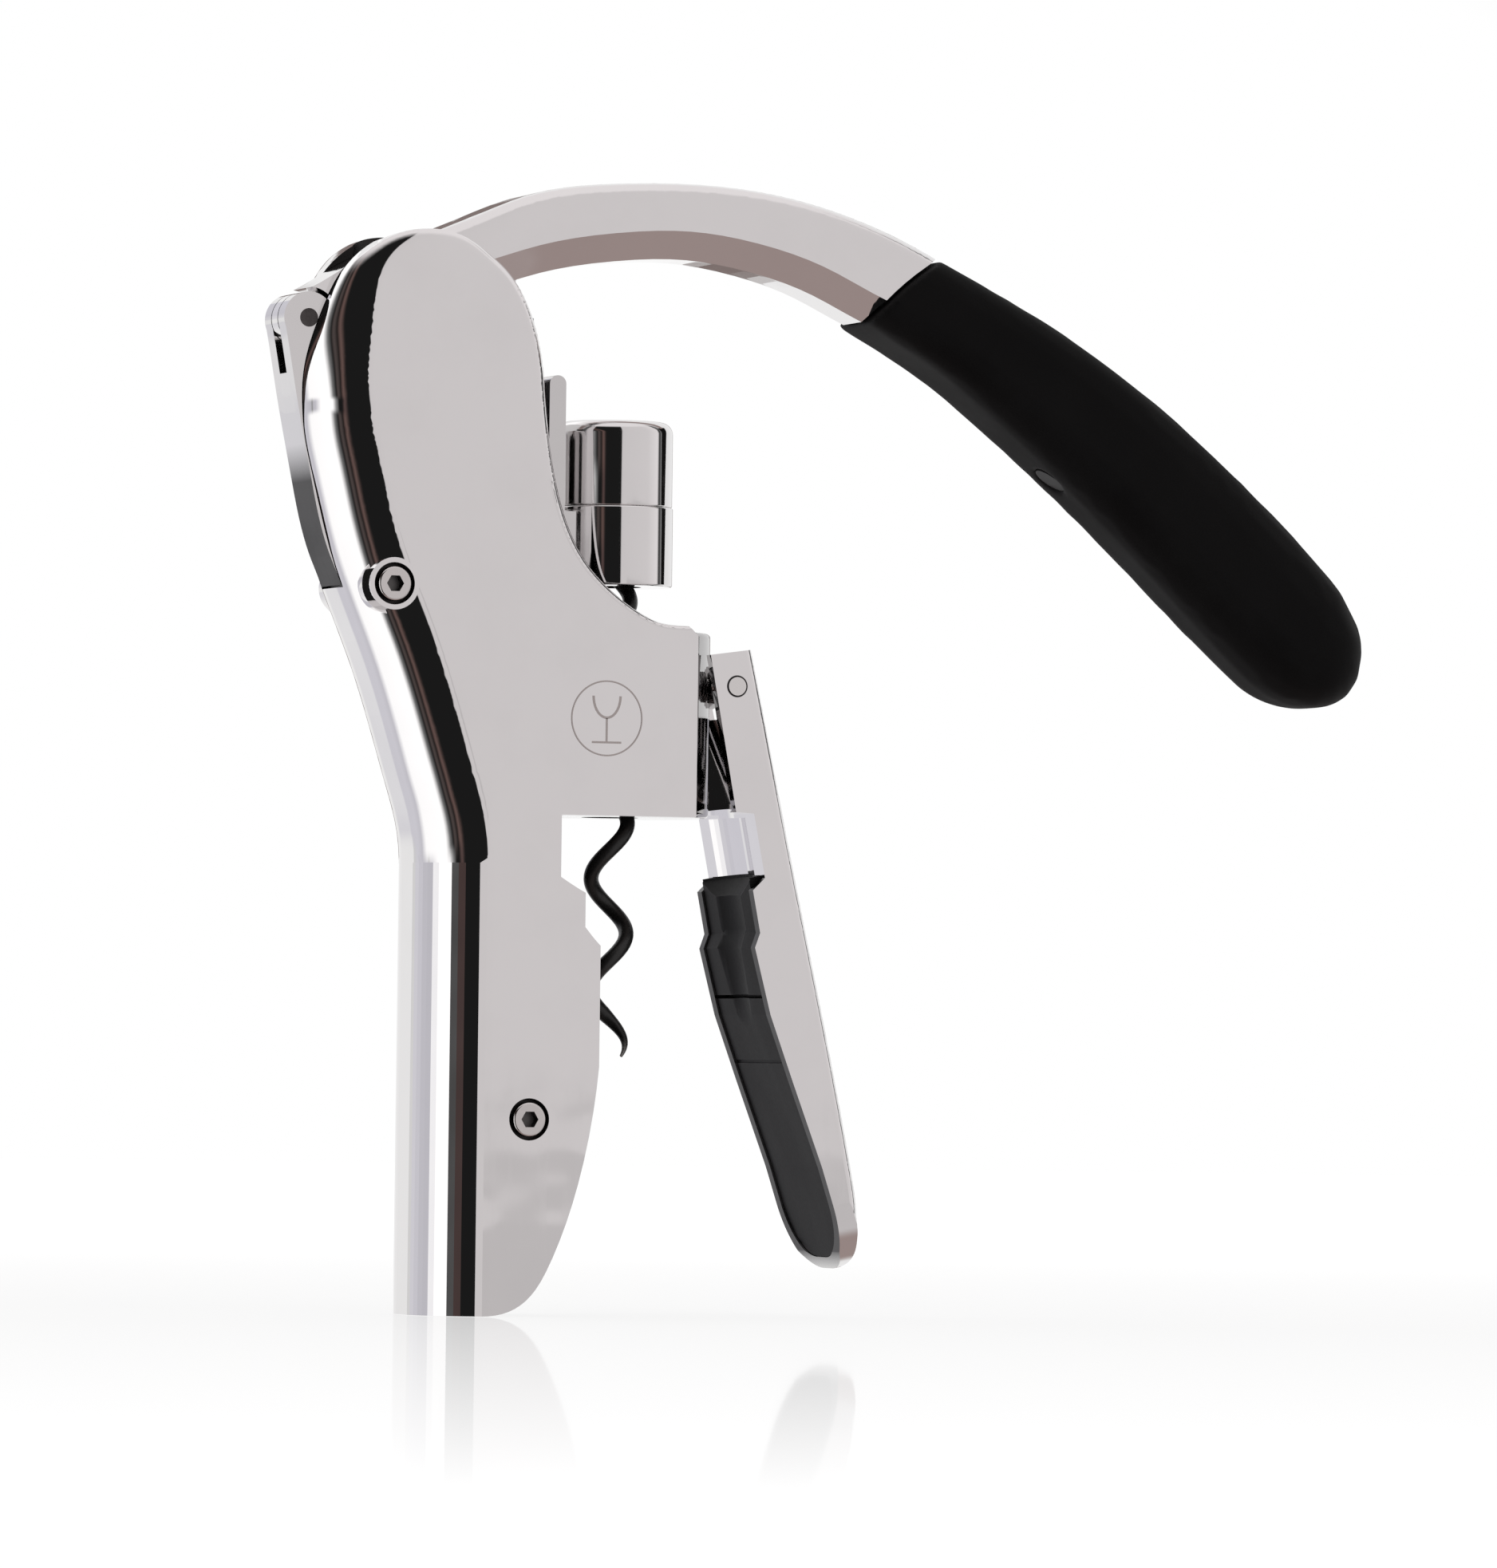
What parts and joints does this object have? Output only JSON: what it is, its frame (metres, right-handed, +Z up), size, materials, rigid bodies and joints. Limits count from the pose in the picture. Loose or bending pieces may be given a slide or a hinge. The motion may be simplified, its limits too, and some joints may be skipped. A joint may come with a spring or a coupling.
{
  "type": "lever corkscrew",
  "caption": "Lever corkscrew: a swinging lever drives a worm on a guided carriage through a bottle-neck clamp with a hand grip.",
  "frame": {"origin": "on the worm's axis, at the head block's underside where the bottle's lip seats", "axes": "+Z up along the worm, +X towards the handle and the clamping grip, +Y across the tool"},
  "size_m": [0.1897, 0.0268, 0.184],
  "materials": {
    "casing_chrome": "mirror-plated die casting",
    "block_chrome": "plated die casting",
    "lever_chrome": "plated die casting",
    "rocker_chrome": "plated",
    "bracket_chrome": "plated pressing",
    "cap_chrome": "turned and plated",
    "grip_chrome": "plated die casting",
    "pin_chrome": "polished",
    "pin_dark": "blackened",
    "steel": "ground",
    "screw_steel": "plated",
    "spring_steel": "oiled",
    "bronze": "sintered",
    "black_nylon": "moulded",
    "jaw_rubber": "moulded",
    "pad_plastic": "satin moulded",
    "soft_grip": "matte soft touch",
    "worm_coating": "satin non-stick coating"
  },
  "bodies": {
    "casing": {"left_casing": "casing_chrome", "right_casing": "casing_chrome", "head_block": "block_chrome", "worm_nut": "black_nylon", "nut_retainer": "steel", "rear_jaw_pad": "jaw_rubber", "left_guide_rail": "steel", "right_guide_rail": "steel", "rail_bumpers": "jaw_rubber", "rocker_axle": "steel", "axle_spacers": "steel", "axle_screws": "screw_steel", "lower_spacer": "steel", "lower_screws": "screw_steel", "grip_hinge_pin": "pin_chrome", "grip_springs": "spring_steel"},
    "rocker": {"rocker_link": "rocker_chrome", "rocker_bushes": "bronze", "rocker_pin": "pin_dark"},
    "lever": {"lever_arm": "lever_chrome", "handle_grip": "soft_grip", "handle_screw": "screw_steel", "crank_pin": "steel", "pin_clips": "spring_steel"},
    "carriage": {"carriage_bracket": "bracket_chrome", "worm_housing": "cap_chrome", "worm_cap": "cap_chrome", "guide_shoes": "black_nylon", "thrust_washer": "bronze", "bearing_bush": "bronze", "housing_screws": "screw_steel"},
    "worm": {"worm": "worm_coating", "worm_head": "steel", "head_clip": "spring_steel"},
    "grip": {"grip_shell": "grip_chrome", "grip_pad": "pad_plastic", "grip_washers": "steel"}
  },
  "joints": [
    {"name": "rocker_swing", "type": "hinge", "parent": "casing", "child": "rocker", "pos_m": [-0.0418, 0, 0.0365], "axis": [0, -1, 0], "range_deg": [-2.25, 0]},
    {"name": "lever_swing", "type": "hinge", "parent": "rocker", "child": "lever", "pos_m": [-0.0542, 0, 0.0792], "axis": [0, -1, 0], "range_deg": [0, 96]},
    {"name": "carriage_slide", "type": "slide", "parent": "casing", "child": "carriage", "axis": [0, 0, 1], "range_m": [0, 0.05017]},
    {"name": "worm_turn", "type": "hinge", "parent": "carriage", "child": "worm", "pos_m": [0, 0, 0], "axis": [0, 0, 1], "range_deg": [0, 1003.4]},
    {"name": "grip_close", "type": "hinge", "parent": "casing", "child": "grip", "pos_m": [0.017, 0, 0.0214], "axis": [0, 1, 0], "range_deg": [0, 11], "stiffness_Nm_per_rad": 0.6, "springref_deg": -17.19, "deforming": ["grip_springs"]}
  ],
  "couplings": [
    {"joint": "rocker_swing", "follows": "lever_swing", "ratio": -0.022898},
    {"joint": "carriage_slide", "follows": "lever_swing", "m_per_rad": 0.029883},
    {"joint": "worm_turn", "follows": "lever_swing", "ratio": 10.431}
  ]
}
